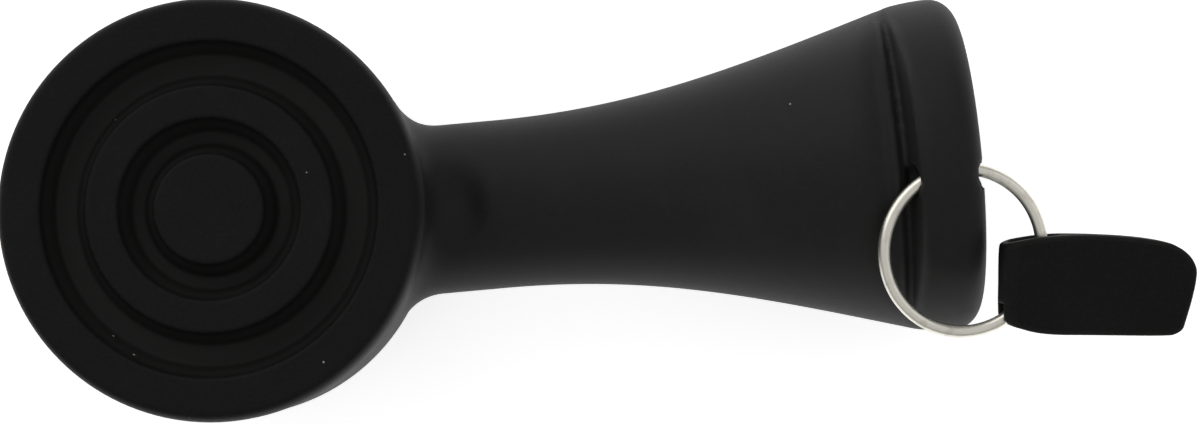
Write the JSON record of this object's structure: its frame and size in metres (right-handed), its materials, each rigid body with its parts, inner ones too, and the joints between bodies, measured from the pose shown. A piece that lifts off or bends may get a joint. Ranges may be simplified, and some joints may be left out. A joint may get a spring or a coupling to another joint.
{
  "type": "sink plunger",
  "caption": "Hand-size black rubber sink plunger: round head with a grooved sealing face, hollow flared grip with a rolled lip, wire ring and pull tab.",
  "frame": {"origin": "centre of the sealing face, on its middle land", "axes": "+Z out of the sealing face, +X along the grip towards its flared end, +Y to the side away from the tab"},
  "size_m": [0.2075, 0.0736, 0.0606],
  "materials": {
    "black_rubber": "smooth moulded, satin",
    "face_rubber": "fine matte moulded",
    "plate_plastic": "matte",
    "core_plastic": "matte",
    "screw_steel": "zinc plated",
    "core_steel": "drawn tube",
    "ring_steel": "satin, slightly warm",
    "tab_rubber": "fine grain"
  },
  "bodies": {
    "plunger": {"handle_body": "black_rubber", "face_seal": "face_rubber", "backing_plate": "plate_plastic", "push_core": "core_plastic", "core_screw": "screw_steel", "neck_core": "core_steel"},
    "ring": {"hanging_ring": "ring_steel"},
    "tab": {"pull_tab": "tab_rubber"}
  },
  "joints": [
    {"name": "ring_swing", "type": "hinge", "parent": "plunger", "child": "ring", "pos_m": [0.1294, -0.00575, -0.0049], "axis": [-1, 0, 0], "range_deg": [0, 110]},
    {"name": "tab_turn", "type": "hinge", "parent": "ring", "child": "tab", "pos_m": [0.1294, -0.01861, -0.00688], "axis": [0.1574, -0.1379, 0.9779], "range_deg": [-60, 20]}
  ]
}
